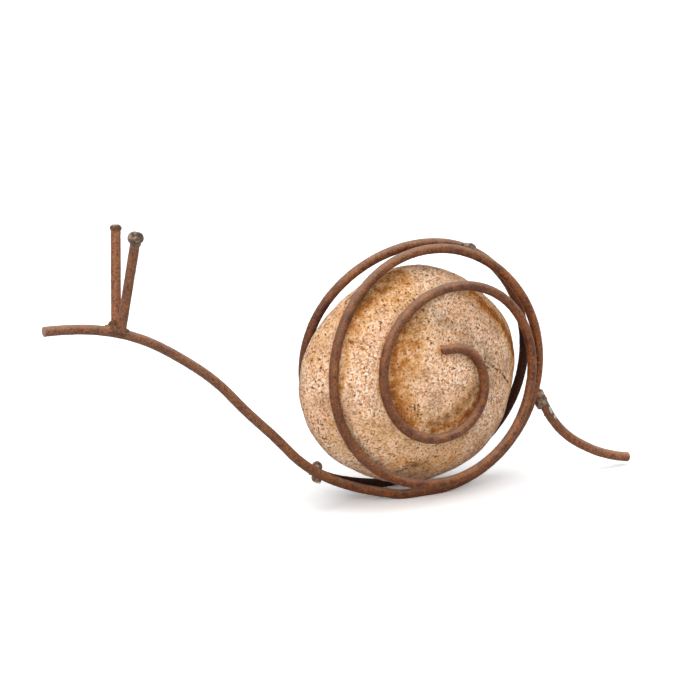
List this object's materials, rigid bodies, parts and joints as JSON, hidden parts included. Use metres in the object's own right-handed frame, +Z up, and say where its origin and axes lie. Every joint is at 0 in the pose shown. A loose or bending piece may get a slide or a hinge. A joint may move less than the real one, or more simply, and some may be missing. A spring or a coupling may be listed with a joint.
{
  "type": "snail figurine",
  "caption": "Garden ornament in the form of a snail: a cobble held as its shell between coils of bent, rusted steel rod, with a long neck, welded feelers and a tail.",
  "frame": {"origin": "on the floor, under the middle of the snail's length and thickness", "axes": "+X from the head to the tail, +Y through the shell to its back coil, +Z up; the coil that shows in the picture is on the -Y side"},
  "size_m": [0.3685, 0.0702, 0.1764],
  "materials": {
    "cobble": "water-worn, matt, speckled",
    "rusted_rod": "hot-rolled steel under a matt brown rust skin",
    "weld_metal": "arc-weld beads, grey-brown, lightly rusted"
  },
  "bodies": {
    "root": {"stone": "cobble", "body_rod": "rusted_rod", "back_rod": "rusted_rod", "tail_rod": "rusted_rod", "left_feeler": "rusted_rod", "right_feeler": "rusted_rod", "left_feeler_tip": "weld_metal", "right_feeler_tip": "weld_metal", "feeler_weld": "weld_metal", "neck_weld": "weld_metal", "crown_weld": "weld_metal", "tail_weld": "weld_metal"}
  },
  "joints": []
}
